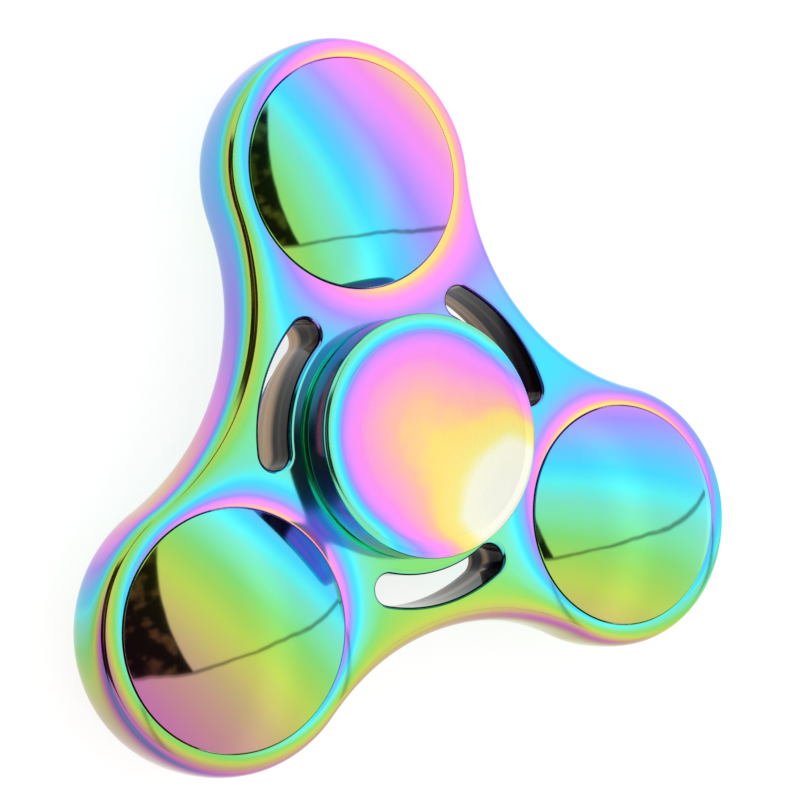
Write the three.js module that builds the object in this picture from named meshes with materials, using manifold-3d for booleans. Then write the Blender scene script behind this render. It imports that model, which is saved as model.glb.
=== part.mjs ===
// Three-lobed metal hand spinner, all sizes in millimetres.
// The spin axis is Z and the origin is the middle of the centre bearing.
// The spinner is the same on both sides, so "front" is +Z and "rear" is -Z.

import * as THREE from 'three';
import { mergeVertices } from 'three/addons/utils/BufferGeometryUtils.js';
import Module from 'manifold-3d';

const wasm = await Module();
wasm.setup();

// ---------------------------------------------------------------- driving dimensions

const LOBES = 3;
const FIRST_LOBE_ANGLE = Math.PI / 2;
const LOBE_OFFSET = 26; // spin axis to the middle of a lobe
const LOBE_RADIUS = 13.5;
const WAIST_RADIUS = 19; // spin axis to the nearest point of the edge between two lobes

const PLATE_HALF = 3.5; // half thickness of the plate, as wide as the bearing
const PLATE_ROUND_WIDTH = 1.5; // the plate's edge rolls over in a quarter ellipse
const PLATE_ROUND_HEIGHT = 2.2;

const SEAM_RADIUS = 11.15; // bore of a lobe, closed by its two covers
const SEAM_HEIGHT = 3.5;
const COLLAR_CREST_RADIUS = 11.45; // raised collar round a cover
const COLLAR_CREST_HEIGHT = 3.72;
const COLLAR_FOOT_RADIUS = 12.5; // the collar flares out into the plate
const COLLAR_FOOT_HEIGHT = 3.3;
const COLLAR_STATIONS = [1, 0.62, 0.3, 0]; // shares of the flare's width, from the foot to the crest
const COLLAR_FLARE_POWER = 1.6; // above 1 the flare is steepest at the crest

const SLOT_INNER = 13.2;
const SLOT_OUTER = 16.25;
const SLOT_HALF_ANGLE = THREE.MathUtils.degToRad(29.3);

const COVER_RADIUS = 11;
const COVER_UNDERSIDE = 2.6;
const COVER_EDGE_HEIGHT = 3.9;
const COVER_APEX = 6.9;
const WEIGHT_RADIUS = 10.9;
const WEIGHT_HALF = 2.3;
const WEIGHT_CHAMFER = 0.4;

const BUTTON_RADIUS = 11.65;
const BUTTON_UNDERSIDE = 4;
const BUTTON_TOP = 7.78;
const BUTTON_LIP_OUTER = 11.05; // the flat ring that the spinner rests on
const BUTTON_LIP_INNER = 10.45;
const DISH_RADIUS = 10.2;
const DISH_EDGE = 7.66;
const DISH_DEPTH = 1.05;
const BUTTON_STEM_RADIUS = 3.85;
const BUTTON_BOSS_RADIUS = 5.85;
const BUTTON_STEM_END = 0.3;
const STUD_RADIUS = 2.25;
const STUD_REACH = 4; // how far the front button's stud passes the bearing's middle
const SOCKET_RADIUS = 2.55;
const SOCKET_DEPTH = 4.4;

const BEARING_OUTER = 11;
const BEARING_BORE = 4;
const BEARING_HALF = 3.5;
const BEARING_CHAMFER = 0.35;
const INNER_SHOULDER = 6.05;
const OUTER_SHOULDER = 8.95;
const SHIELD_RECESS = 9.6;
const SHIELD_RECESS_FLOOR = 2.65;
const BALLS = 7;
const BALL_RADIUS = 1.9845;
const PITCH_RADIUS = 7.5;
const GROOVE_RADIUS = 2.13;
const SHIELD_INNER = 6.4;
const SHIELD_OUTER = 9.35;
const SHIELD_BOTTOM = 2.9;
const SHIELD_TOP = 3.2;
const CAGE_INNER = 6.8;
const CAGE_OUTER = 8.2;
const CAGE_SHEET = 0.4;
const CAGE_SPLIT = 0.15; // half of the gap between the two cage halves
const CAGE_POCKET = 2.2;

const GAP = 0.3; // kept where two pieces touch face to face
const FAR = 20; // longer than anything that a cutter has to pass

const FINE_TURN = 42; // flats round the pieces that show
const COARSE_TURN = 30; // flats round the pieces inside
const OUTLINE_SEGMENTS = 6; // steps in each arc of an extruded outline
const PLATE_ROUND_STEPS = 3;
const COVER_STEPS = 4; // from a cover's edge to its apex
const DISH_STEPS = 3;
const LIP_STEPS = 2;
const GROOVE_STEPS = 4;
const BALL_TURN = 10;
const BALL_RISE = 6;

// ---------------------------------------------------------------- colours and finishes

const FINISH = {
  body: { color: 0x58b8e8, roughness: 0.14, metalness: 1 },
  cover: { color: 0x62c9b0, roughness: 0.08, metalness: 1 },
  button: { color: 0xd87fd0, roughness: 0.24, metalness: 1 },
  ring: { color: 0xb9bdc2, roughness: 0.22, metalness: 1 },
  ball: { color: 0xd6d9dd, roughness: 0.06, metalness: 1 },
  cage: { color: 0xa59f92, roughness: 0.35, metalness: 1 },
  shield: { color: 0xc3c6ca, roughness: 0.3, metalness: 1 },
  weight: { color: 0x8b8e92, roughness: 0.45, metalness: 1 },
};

// ---------------------------------------------------------------- shape helpers

function polar(radius, angle) {
  return new THREE.Vector2(radius * Math.cos(angle), radius * Math.sin(angle));
}

function lobeAngle(index) {
  return FIRST_LOBE_ANGLE + (index * 2 * Math.PI) / LOBES;
}

// Points of an ellipse arc in a turned profile, both ends included.
function profileArc(centreR, centreZ, radiusR, radiusZ, from, to, steps) {
  const points = [];
  for (let i = 0; i <= steps; i++) {
    const angle = from + ((to - from) * i) / steps;
    points.push([centreR + radiusR * Math.cos(angle), centreZ + radiusZ * Math.sin(angle)]);
  }
  return points;
}

// Points of a spherical cap that runs from its edge to the axis.
function profileCap(edgeRadius, edgeZ, apexZ, steps) {
  const rise = apexZ - edgeZ;
  const sphere = (edgeRadius ** 2 + rise ** 2) / (2 * rise);
  const points = [];
  for (let i = 0; i <= steps; i++) {
    const radius = edgeRadius * (1 - i / steps);
    const drop = Math.abs(sphere) - Math.sqrt(sphere ** 2 - radius ** 2);
    points.push([radius, apexZ - Math.sign(sphere) * drop]);
  }
  return points;
}

function mirrored(profile) {
  return profile.map(([radius, z]) => [radius, -z]).reverse();
}

// A body turned about Z from [radius, z] points listed from its lower end to its upper end.
function turned(profile, flats) {
  const points = profile.map(([radius, z]) => new THREE.Vector2(radius, z));
  return new THREE.LatheGeometry(points, flats).rotateX(Math.PI / 2);
}

function closedRing(profile, flats) {
  return turned([...profile, profile[0]], flats);
}

function disc(radius, bottom, top, flats) {
  return turned([[0, bottom], [radius, bottom], [radius, top], [0, top]], flats);
}

function extruded(shape, bottom, top, bevel = { bevelEnabled: false }) {
  const inset = bevel.bevelThickness ?? 0;
  const depth = top - bottom - 2 * inset;
  const options = { depth, curveSegments: OUTLINE_SEGMENTS, ...bevel };
  const geometry = new THREE.ExtrudeGeometry(shape, options);
  return geometry.translate(0, 0, bottom + inset);
}

// ---------------------------------------------------------------- solids

function solidOf(geometry) {
  const bare = geometry.clone();
  bare.deleteAttribute('normal');
  bare.deleteAttribute('uv');
  const merged = mergeVertices(bare);
  const corners = Array.from(merged.index.array);
  const triVerts = [];
  for (let i = 0; i < corners.length; i += 3) {
    const [a, b, c] = corners.slice(i, i + 3);
    if (a !== b && b !== c && c !== a) triVerts.push(a, b, c);
  }
  return new wasm.Manifold(new wasm.Mesh({
    numProp: 3,
    vertProperties: merged.attributes.position.array,
    triVerts: new Uint32Array(triVerts),
  }));
}

function geometryOf(solid) {
  const mesh = solid.getMesh();
  const geometry = new THREE.BufferGeometry();
  geometry.setAttribute('position', new THREE.BufferAttribute(mesh.vertProperties, 3));
  geometry.setIndex(new THREE.BufferAttribute(mesh.triVerts, 1));
  geometry.computeVertexNormals();
  return geometry;
}

function joined(solids) {
  return solids.reduce((whole, solid) => whole.add(solid));
}

// ---------------------------------------------------------------- tri-lobe frame

// The waist arcs touch the lobe circles and pass the spin axis at the waist radius.
const waistArcRadius =
  (LOBE_RADIUS ** 2 - LOBE_OFFSET ** 2 - WAIST_RADIUS ** 2 + WAIST_RADIUS * LOBE_OFFSET) /
  (2 * WAIST_RADIUS - LOBE_OFFSET - 2 * LOBE_RADIUS);
const waistCentreRadius = waistArcRadius + WAIST_RADIUS;

function plateOutline() {
  const outline = new THREE.Shape();
  for (let i = 0; i < LOBES; i++) {
    const here = polar(LOBE_OFFSET, lobeAngle(i));
    const next = polar(LOBE_OFFSET, lobeAngle(i + 1));
    const before = polar(waistCentreRadius, lobeAngle(i - 0.5));
    const waist = polar(waistCentreRadius, lobeAngle(i + 0.5));
    const start = before.clone().sub(here).angle();
    const end = waist.clone().sub(here).angle();
    outline.absarc(here.x, here.y, LOBE_RADIUS, start, end, false);
    const leave = here.clone().sub(waist).angle();
    const arrive = next.clone().sub(waist).angle();
    outline.absarc(waist.x, waist.y, waistArcRadius, leave, arrive, true);
  }
  return outline;
}

// The collar's outside is concave: steep at the crest and nearly level at the foot.
function collarProfile() {
  const width = COLLAR_FOOT_RADIUS - COLLAR_CREST_RADIUS;
  const height = COLLAR_CREST_HEIGHT - COLLAR_FOOT_HEIGHT;
  const flare = [];
  for (const outward of COLLAR_STATIONS) {
    const fall = 1 - (1 - outward) ** COLLAR_FLARE_POWER;
    flare.push([COLLAR_CREST_RADIUS + width * outward, COLLAR_CREST_HEIGHT - height * fall]);
  }
  const upper = [...flare, [SEAM_RADIUS, SEAM_HEIGHT], [0, SEAM_HEIGHT]];
  return [...mirrored(upper), ...upper];
}

function slotOutline(middleAngle) {
  const middleRadius = (SLOT_INNER + SLOT_OUTER) / 2;
  const endRadius = (SLOT_OUTER - SLOT_INNER) / 2;
  const reach = SLOT_HALF_ANGLE - Math.asin(endRadius / middleRadius);
  const first = middleAngle - reach;
  const last = middleAngle + reach;
  const firstEnd = polar(middleRadius, first);
  const lastEnd = polar(middleRadius, last);
  const outline = new THREE.Shape();
  outline.absarc(0, 0, SLOT_OUTER, first, last, false);
  outline.absarc(lastEnd.x, lastEnd.y, endRadius, last, last + Math.PI, false);
  outline.absarc(0, 0, SLOT_INNER, last, first, true);
  outline.absarc(firstEnd.x, firstEnd.y, endRadius, first + Math.PI, first + 2 * Math.PI, false);
  return outline;
}

function triLobeFrame() {
  const rounded = {
    bevelEnabled: true,
    bevelThickness: PLATE_ROUND_HEIGHT,
    bevelSize: PLATE_ROUND_WIDTH,
    bevelOffset: -PLATE_ROUND_WIDTH,
    bevelSegments: PLATE_ROUND_STEPS,
  };
  const plate = solidOf(extruded(plateOutline(), -PLATE_HALF, PLATE_HALF, rounded));
  const collar = solidOf(turned(collarProfile(), FINE_TURN));
  const bore = solidOf(disc(SEAM_RADIUS, -FAR, FAR, FINE_TURN));
  const solids = [plate];
  const cutters = [bore];
  for (let i = 0; i < LOBES; i++) {
    const centre = polar(LOBE_OFFSET, lobeAngle(i));
    solids.push(collar.translate([centre.x, centre.y, 0]));
    cutters.push(bore.translate([centre.x, centre.y, 0]));
    cutters.push(solidOf(extruded(slotOutline(lobeAngle(i + 0.5)), -FAR, FAR)));
  }
  return geometryOf(joined(solids).subtract(joined(cutters)));
}

// ---------------------------------------------------------------- lobe covers and weights

function coverGeometry(side) {
  const front = [
    [0, COVER_UNDERSIDE],
    [COVER_RADIUS, COVER_UNDERSIDE],
    ...profileCap(COVER_RADIUS, COVER_EDGE_HEIGHT, COVER_APEX, COVER_STEPS),
  ];
  return turned(side > 0 ? front : mirrored(front), FINE_TURN);
}

function weightGeometry() {
  const upper = [
    [WEIGHT_RADIUS, WEIGHT_HALF - WEIGHT_CHAMFER],
    [WEIGHT_RADIUS - WEIGHT_CHAMFER, WEIGHT_HALF],
    [0, WEIGHT_HALF],
  ];
  return turned([...mirrored(upper), ...upper], COARSE_TURN);
}

// ---------------------------------------------------------------- finger buttons

// Everything of a button outside its stem, from the stem's root out and up to the dish.
function buttonCapProfile() {
  const edge = BUTTON_RADIUS - BUTTON_LIP_OUTER;
  return [
    [BUTTON_STEM_RADIUS, BEARING_HALF + GAP],
    [BUTTON_BOSS_RADIUS, BEARING_HALF + GAP],
    [BUTTON_BOSS_RADIUS, BUTTON_UNDERSIDE],
    [BUTTON_RADIUS, BUTTON_UNDERSIDE],
    ...profileArc(BUTTON_LIP_OUTER, BUTTON_TOP - edge, edge, edge, 0, Math.PI / 2, LIP_STEPS),
    [BUTTON_LIP_INNER, BUTTON_TOP],
    ...profileCap(DISH_RADIUS, DISH_EDGE, DISH_EDGE - DISH_DEPTH, DISH_STEPS),
  ];
}

function frontButtonGeometry() {
  const stem = [
    [0, -STUD_REACH],
    [STUD_RADIUS, -STUD_REACH],
    [STUD_RADIUS, BUTTON_STEM_END],
    [BUTTON_STEM_RADIUS, BUTTON_STEM_END],
  ];
  return turned([...stem, ...buttonCapProfile()], FINE_TURN);
}

function rearButtonGeometry() {
  const stem = [
    [0, SOCKET_DEPTH],
    [SOCKET_RADIUS, SOCKET_DEPTH],
    [SOCKET_RADIUS, BUTTON_STEM_END],
    [BUTTON_STEM_RADIUS, BUTTON_STEM_END],
  ];
  return turned(mirrored([...stem, ...buttonCapProfile()]), FINE_TURN);
}

// ---------------------------------------------------------------- ball bearing

// The groove is a round channel about the pitch circle, cut off at the ring's shoulder.
function grooveArc(shoulder, outward) {
  const half = Math.acos(Math.abs(PITCH_RADIUS - shoulder) / GROOVE_RADIUS);
  const middle = outward ? 0 : Math.PI;
  const turn = outward ? 1 : -1;
  const from = middle - turn * half;
  const to = middle + turn * half;
  return profileArc(PITCH_RADIUS, 0, GROOVE_RADIUS, GROOVE_RADIUS, from, to, GROOVE_STEPS);
}

function innerRingGeometry() {
  const profile = [
    [BEARING_BORE + BEARING_CHAMFER, -BEARING_HALF],
    [INNER_SHOULDER, -BEARING_HALF],
    ...grooveArc(INNER_SHOULDER, false),
    [INNER_SHOULDER, BEARING_HALF],
    [BEARING_BORE + BEARING_CHAMFER, BEARING_HALF],
    [BEARING_BORE, BEARING_HALF - BEARING_CHAMFER],
    [BEARING_BORE, -BEARING_HALF + BEARING_CHAMFER],
  ];
  return closedRing(profile, COARSE_TURN);
}

function outerRingGeometry() {
  const profile = [
    [SHIELD_RECESS, -BEARING_HALF],
    [BEARING_OUTER - BEARING_CHAMFER, -BEARING_HALF],
    [BEARING_OUTER, -BEARING_HALF + BEARING_CHAMFER],
    [BEARING_OUTER, BEARING_HALF - BEARING_CHAMFER],
    [BEARING_OUTER - BEARING_CHAMFER, BEARING_HALF],
    [SHIELD_RECESS, BEARING_HALF],
    [SHIELD_RECESS, SHIELD_RECESS_FLOOR],
    [OUTER_SHOULDER, SHIELD_RECESS_FLOOR],
    ...grooveArc(OUTER_SHOULDER, true).reverse(),
    [OUTER_SHOULDER, -SHIELD_RECESS_FLOOR],
    [SHIELD_RECESS, -SHIELD_RECESS_FLOOR],
  ];
  return closedRing(profile, COARSE_TURN);
}

function shieldGeometry(side) {
  const near = Math.min(side * SHIELD_BOTTOM, side * SHIELD_TOP);
  const far = Math.max(side * SHIELD_BOTTOM, side * SHIELD_TOP);
  const profile = [
    [SHIELD_INNER, near],
    [SHIELD_OUTER, near],
    [SHIELD_OUTER, far],
    [SHIELD_INNER, far],
  ];
  return closedRing(profile, COARSE_TURN);
}

function ballPlace(index) {
  return polar(PITCH_RADIUS, (index * 2 * Math.PI) / BALLS);
}

function ballGeometry() {
  return geometryOf(solidOf(new THREE.SphereGeometry(BALL_RADIUS, BALL_TURN, BALL_RISE)));
}

// One pressed half of the ribbon cage: a flat band with a rounded pocket over each ball.
function cageGeometry(side) {
  const bandTop = CAGE_SPLIT + CAGE_SHEET;
  const dome = solidOf(new THREE.SphereGeometry(CAGE_POCKET + CAGE_SHEET, BALL_TURN, BALL_RISE));
  const hollow = solidOf(new THREE.SphereGeometry(CAGE_POCKET, BALL_TURN, BALL_RISE));
  const band = solidOf(disc(CAGE_OUTER, CAGE_SPLIT, bandTop, COARSE_TURN));
  const domes = [];
  const hollows = [];
  for (let i = 0; i < BALLS; i++) {
    const place = ballPlace(i);
    domes.push(dome.translate([place.x, place.y, 0]));
    hollows.push(hollow.translate([place.x, place.y, 0]));
  }
  const limits = solidOf(disc(CAGE_OUTER, CAGE_SPLIT, FAR, COARSE_TURN));
  const middle = solidOf(disc(CAGE_INNER, -FAR, FAR, COARSE_TURN));
  const half = joined([band, ...domes])
    .intersect(limits)
    .subtract(joined([middle, ...hollows]));
  return geometryOf(side > 0 ? half : half.rotate([180, 0, 0]));
}

// ---------------------------------------------------------------- assembly

const spinner = new THREE.Group();

function addPiece(name, geometry, finish, place = new THREE.Vector2()) {
  const mesh = new THREE.Mesh(geometry, new THREE.MeshStandardMaterial(FINISH[finish]));
  mesh.name = name;
  mesh.position.set(place.x, place.y, 0);
  spinner.add(mesh);
}

const sides = [['front', 1], ['rear', -1]];

addPiece('tri_lobe_frame', triLobeFrame(), 'body');
addPiece('front_button', frontButtonGeometry(), 'button');
addPiece('rear_button', rearButtonGeometry(), 'button');
addPiece('bearing_inner_ring', innerRingGeometry(), 'ring');
addPiece('bearing_outer_ring', outerRingGeometry(), 'ring');

for (const [side, sign] of sides) {
  addPiece(`bearing_shield_${side}`, shieldGeometry(sign), 'shield');
  addPiece(`ball_cage_half_${side}`, cageGeometry(sign), 'cage');
}

for (let i = 0; i < BALLS; i++) {
  addPiece(`bearing_ball_${i + 1}`, ballGeometry(), 'ball', ballPlace(i));
}

for (let i = 0; i < LOBES; i++) {
  const centre = polar(LOBE_OFFSET, lobeAngle(i));
  addPiece(`lobe_weight_${i + 1}`, weightGeometry(), 'weight', centre);
  for (const [side, sign] of sides) {
    addPiece(`lobe_cover_${i + 1}_${side}`, coverGeometry(sign), 'cover', centre);
  }
}

export default spinner;
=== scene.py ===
import math

import bpy
import numpy as np
from mathutils import Matrix, Vector
from mathutils.geometry import delaunay_2d_cdt


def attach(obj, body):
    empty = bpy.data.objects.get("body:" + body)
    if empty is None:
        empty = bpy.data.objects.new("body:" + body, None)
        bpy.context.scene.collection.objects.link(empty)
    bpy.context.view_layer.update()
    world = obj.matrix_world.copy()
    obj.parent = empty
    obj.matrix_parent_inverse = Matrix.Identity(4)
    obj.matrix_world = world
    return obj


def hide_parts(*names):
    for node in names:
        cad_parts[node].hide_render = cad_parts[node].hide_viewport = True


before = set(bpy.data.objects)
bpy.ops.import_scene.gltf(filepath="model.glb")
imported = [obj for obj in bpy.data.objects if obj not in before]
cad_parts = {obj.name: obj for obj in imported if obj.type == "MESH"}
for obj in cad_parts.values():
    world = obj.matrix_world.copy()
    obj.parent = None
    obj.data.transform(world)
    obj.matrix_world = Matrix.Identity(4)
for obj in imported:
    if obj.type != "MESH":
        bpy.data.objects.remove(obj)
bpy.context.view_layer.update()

MM = 0.001

# ---------------------------------------------------------------- camera

CAMERA_PLACE = (-100.92, 11.81, 174.69)
CAMERA_RIGHT = (0.8375, -0.2157, 0.5021)
CAMERA_FORWARD = (0.5061, -0.0403, -0.8615)
CAMERA_LENS = 93.05

forward = Vector(CAMERA_FORWARD).normalized()
right = (Vector(CAMERA_RIGHT) - forward * forward.dot(Vector(CAMERA_RIGHT))).normalized()
up = right.cross(forward)
camera_data = bpy.data.cameras.new("camera")
camera_data.lens = CAMERA_LENS
camera_data.sensor_width = 36
camera_data.clip_start = 0.005
camera = bpy.data.objects.new("camera", camera_data)
bpy.context.scene.collection.objects.link(camera)
camera.matrix_world = Matrix.Translation(Vector(CAMERA_PLACE) * MM) @ Matrix(
    (right, up, -forward)).transposed().to_4x4()
bpy.context.scene.camera = camera

# ---------------------------------------------------------------- dimensions, in millimetres

LOBES = 3
FIRST_LOBE_ANGLE = math.pi / 2
LOBE_OFFSET = 26.0
LOBE_RADIUS = 13.5
WAIST_RADIUS = 19.0
PLATE_HALF = 3.5
ROLL_AT_LOBE = 1.0 # how far in from the outline the rolled edge reaches
ROLL_AT_WAIST = 1.45
ROLL_POWER = 2.5 # 2 rolls the edge over in an ellipse, and more makes it squarer
STRIP_WIDTH = 1.9 # the border of the plate's top that follows the outline

SEAM_RADIUS = 11.15 # bore of a lobe and of the plate's middle
SEAM_ROUND = 0.15
COLLAR_HEIGHT = 0.24
COLLAR_CREST = 11.34
COLLAR_FALL = 1.0 # a collar falls off exponentially over this distance

SLOT_INNER = 13.2
SLOT_OUTER = 16.25
SLOT_HALF_ANGLE = math.radians(29.3)
SLOT_ROUND = 0.5
SLOT_MIDDLE = (SLOT_INNER + SLOT_OUTER) / 2
SLOT_END = (SLOT_OUTER - SLOT_INNER) / 2
SLOT_REACH = SLOT_HALF_ANGLE - math.asin(SLOT_END / SLOT_MIDDLE)

COVER_RADIUS = 11.08
COVER_EDGE = 3.85
COVER_APEX = 6.9
COVER_SPHERE = 21.67 # radius of the dome
COVER_UNDERSIDE = 2.6
COVER_EDGE_ROUND = 0.1
COVER_EDGE_INSET = 0.06

BUTTON_RADIUS = 11.65
BUTTON_UNDERSIDE = 4.0
BUTTON_TOP = 7.78
LIP_INNER = 10.35
DISH_RADIUS = 10.0
DISH_DEPTH = 1.05
DISH_EDGE = BUTTON_TOP - 0.12
STEM_RADIUS = 3.9
BOSS_RADIUS = 5.9
STEM_END = 0.3
STUD_RADIUS = 2.25
STUD_REACH = 4.0
SOCKET_RADIUS = 2.55
SOCKET_DEPTH = 4.4

BEARING_OUTER = 11.05
BEARING_BORE = 4.0
BEARING_HALF = 3.5
INNER_SHOULDER = 6.05
OUTER_SHOULDER = 8.95
SHIELD_RECESS = 9.6
SHIELD_RECESS_FLOOR = 2.65
BALLS = 7
BALL_RADIUS = 1.9845
PITCH_RADIUS = 7.5
GROOVE_RADIUS = 2.03
SHIELD_INNER = 6.4
SHIELD_OUTER = 9.4
SHIELD_BOTTOM = 2.9
SHIELD_TOP = 3.2
SHIELD_STEP = 0.12 # the middle of a shield is pressed in by this
SHIELD_STEP_INNER = 6.8
SHIELD_STEP_OUTER = 8.8
SHIELD_STEP_SLOPE = 0.1
CAGE_INNER = 6.8
CAGE_OUTER = 8.2
CAGE_SHEET = 0.35
CAGE_SPLIT = 0.02
CAGE_POCKET = 2.1
WEIGHT_RADIUS = 11.0
WEIGHT_HALF = 2.45

SIDES = (("front", 1), ("rear", -1))

# how finely the surfaces are divided
LOBE_STEPS = 156
WAIST_STEPS = 108
ROLL_ROWS = 24
BORE_POINTS = 216
HOLE_ROUND_ROWS = 9
COLLAR_RINGS = (11.45, 11.54, 11.66, 11.8, 11.98, 12.2, 12.45, 12.75, 13.15, 13.65, 14.25)
SPREAD_STEP = 0.55
SPREAD_REACH = 45
COVER_TURNS = 256
COVER_ROWS = 44
WEIGHT_TURNS = 96
BUTTON_TURNS = 240
WALL_HEIGHTS = (4.8, 5.3, 5.8, 6.3, 6.75)
DISH_ROWS = 40
BEARING_TURNS = 192
GROOVE_ROWS = 16
BALL_TURNS = 48
BALL_ROWS = 24
CAGE_STEPS = 40
CAGE_WIDTH_STEPS = 4


def lobe_angle(index):
    return FIRST_LOBE_ANGLE + index * 2 * math.pi / LOBES


def polar(radius, angle):
    return np.array([radius * math.cos(angle), radius * math.sin(angle)])


LOBE_CENTRES = [polar(LOBE_OFFSET, lobe_angle(i)) for i in range(LOBES)]
WAIST_ARC = (
    (LOBE_RADIUS ** 2 - LOBE_OFFSET ** 2 - WAIST_RADIUS ** 2 + WAIST_RADIUS * LOBE_OFFSET)
    / (2 * WAIST_RADIUS - LOBE_OFFSET - 2 * LOBE_RADIUS))
WAIST_CENTRES = [polar(WAIST_ARC + WAIST_RADIUS, lobe_angle(i + 0.5)) for i in range(LOBES)]


def angle_of(vector):
    return math.atan2(vector[1], vector[0])


def smooth(t):
    """A share from 0 to 1 that starts and ends gently."""
    t = np.clip(t, 0, 1)
    return t * t * (3 - 2 * t)


# ---------------------------------------------------------------- mesh building

def make_piece(name, points, faces, normals=None, fields=None, flat=False):
    """A mesh object from points in millimetres, with its own normals and painted fields."""
    mesh = bpy.data.meshes.new(name)
    mesh.from_pydata([tuple(p) for p in np.asarray(points, float) * MM], [], faces)
    for key, values in (fields or {}).items():
        layer = mesh.attributes.new(key, "FLOAT", "POINT")
        layer.data.foreach_set("value", np.asarray(values, np.float32))
    if not flat:
        mesh.polygons.foreach_set("use_smooth", [True] * len(mesh.polygons))
    mesh.validate()
    if normals is not None:
        mesh.normals_split_custom_set_from_vertices([tuple(n) for n in normals])
    obj = bpy.data.objects.new(name, mesh)
    bpy.context.scene.collection.objects.link(obj)
    return obj


class Builder:
    """Collects the points, faces and normals of one piece, with its film's thickness and its shade.

    Shade above 0 mixes the film towards a wall's dark painted shade and painted reflections, and shade below
    0 only darkens it as painted shade."""

    def __init__(self):
        self.points, self.normals, self.faces, self.count = [], [], [], 0
        self.film, self.shade = [], []

    def add(self, points, normals, film, shade=0.0):
        points = np.asarray(points, float).reshape(-1, 3)
        normals = np.asarray(normals, float).reshape(-1, 3)
        lengths = np.linalg.norm(normals, axis=1)[:, None]
        self.points.append(points)
        self.normals.append(normals / np.maximum(lengths, 1e-9))
        self.film.append(np.broadcast_to(np.asarray(film, float), len(points)))
        self.shade.append(np.broadcast_to(np.asarray(shade, float), len(points)))
        first = self.count
        self.count += len(points)
        return np.arange(first, self.count)

    def quads(self, grid, closed=True, flip=False):
        """Faces between the rows of a grid of point numbers."""
        rows, columns = grid.shape
        for r in range(rows - 1):
            for c in range(columns if closed else columns - 1):
                d = (c + 1) % columns
                face = [grid[r, c], grid[r, d], grid[r + 1, d], grid[r + 1, c]]
                kept = [int(v) for k, v in enumerate(face) if v != face[k - 1]]
                if len(kept) > 2:
                    self.faces.append(tuple(reversed(kept)) if flip else tuple(kept))

    def build(self, name):
        points = np.vstack(self.points)
        return make_piece(name, points, self.faces, np.vstack(self.normals),
                          {"film": np.concatenate(self.film), "shade": np.concatenate(self.shade)})


def lathe(builder, profile, turns, film_at, centre=(0, 0), closed=False, shade_at=None):
    """Turns [radius, z, normal radius, normal z] rows about Z. A radius of zero makes one point."""
    angles = np.linspace(0, 2 * np.pi, turns, endpoint=False)
    cosine, sine = np.cos(angles), np.sin(angles)
    grid = []
    for radius, z, nr, nz in profile:
        if radius < 1e-9:
            points, normals = np.array([[0, 0, z]]), np.array([[0, 0, 1.0 if nz > 0 else -1.0]])
        else:
            points = np.c_[radius * cosine, radius * sine, np.full(turns, z)]
            normals = np.c_[nr * cosine, nr * sine, np.full(turns, nz)]
        film = film_at(points, normals)
        shade = shade_at(points, normals) if shade_at else 0.0
        numbers = builder.add(points + [centre[0], centre[1], 0], normals, film, shade)
        grid.append(np.repeat(numbers, turns) if len(numbers) == 1 else numbers)
    if closed:
        grid.append(grid[0])
    builder.quads(np.array(grid), closed=True)


def profile_of(corners, closed=False):
    """Rows for lathe from corners [radius, z, round]: a rounded corner is an arc of that radius.

    The line runs with the solid on its left. Each flat part gets its own pair of rows."""
    points = [np.array(c[:2], float) for c in corners]
    rounds = [c[2] if len(c) > 2 else 0.0 for c in corners]
    count = len(points)
    rows = []

    def outward(direction):
        return np.array([direction[1], -direction[0]])

    for k in range(count):
        here = points[k]
        before = points[k - 1] if closed or k > 0 else None
        after = points[(k + 1) % count] if closed or k < count - 1 else None
        d_in = None if before is None else (here - before) / np.linalg.norm(here - before)
        d_out = None if after is None else (after - here) / np.linalg.norm(after - here)
        if d_in is None:
            rows.append([*here, *outward(d_out)])
            continue
        if d_out is None:
            rows.append([*here, *outward(d_in)])
            continue
        turn = math.atan2(d_in[0] * d_out[1] - d_in[1] * d_out[0], float(d_in @ d_out))
        size = rounds[k]
        if size <= 0 or abs(turn) < 1e-3:
            rows.append([*here, *outward(d_in)])
            if abs(turn) >= 1e-3:
                rows.append([*here, *outward(d_out)])
            continue
        cut = size * math.tan(abs(turn) / 2)
        start = here - d_in * cut
        side = 1 if turn > 0 else -1
        centre = start - side * outward(d_in) * size
        steps = max(3, int(math.ceil(abs(turn) / math.radians(9))))
        first = math.atan2(*outward(d_in)[::-1])
        for i in range(steps + 1):
            angle = first + turn * i / steps
            n = np.array([math.cos(angle), math.sin(angle)])
            rows.append([*(centre + side * n * size), *n])
    return rows


def mirrored_rows(rows):
    return [[r, -z, nr, -nz] for r, z, nr, nz in reversed(rows)]


# ---------------------------------------------------------------- the film's thickness

# The film's thickness is on a scale of its own, from FILM_LOW to FILM_HIGH: FILM_COLOURS below
# says which colour each value shows.

def film_none(points, normals):
    """For bare steel."""
    return 0.0


def film_web(x, y):
    return 0.62 - 0.0045 * x - 0.010 * y


def film_crest_top(c, s):
    return -0.06 + 0.5 * ((1 - c) / 2) ** 3


def film_crest_left(c, s):
    return 0.38 - 0.245 * c - 0.27 * s


def film_crest_right(c, s):
    return 0.25 - 0.02 * c - 0.31 * s


# film on each collar's crest from the direction's cosine and sine, and how far it spreads out
COLLAR_FILM = [(film_crest_top, 3.3), (film_crest_left, 2.0), (film_crest_right, 1.8)]
CREST_EDGE = 11.4 # the spread starts at this distance from a lobe's middle
CREST_WIDTH = 0.6

# film over each cover: value at its middle, then its change with x, y, xx, xy and yy in centimetres
COVER_FILM = [
    (0.385, -0.335, -0.145, 0.07, -0.02, -0.01),
    (0.84, -0.31, -0.21, -0.03, -0.075, -0.03),
    (0.62, -0.125, -0.29, 0.0, 0.04, -0.02)]

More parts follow.
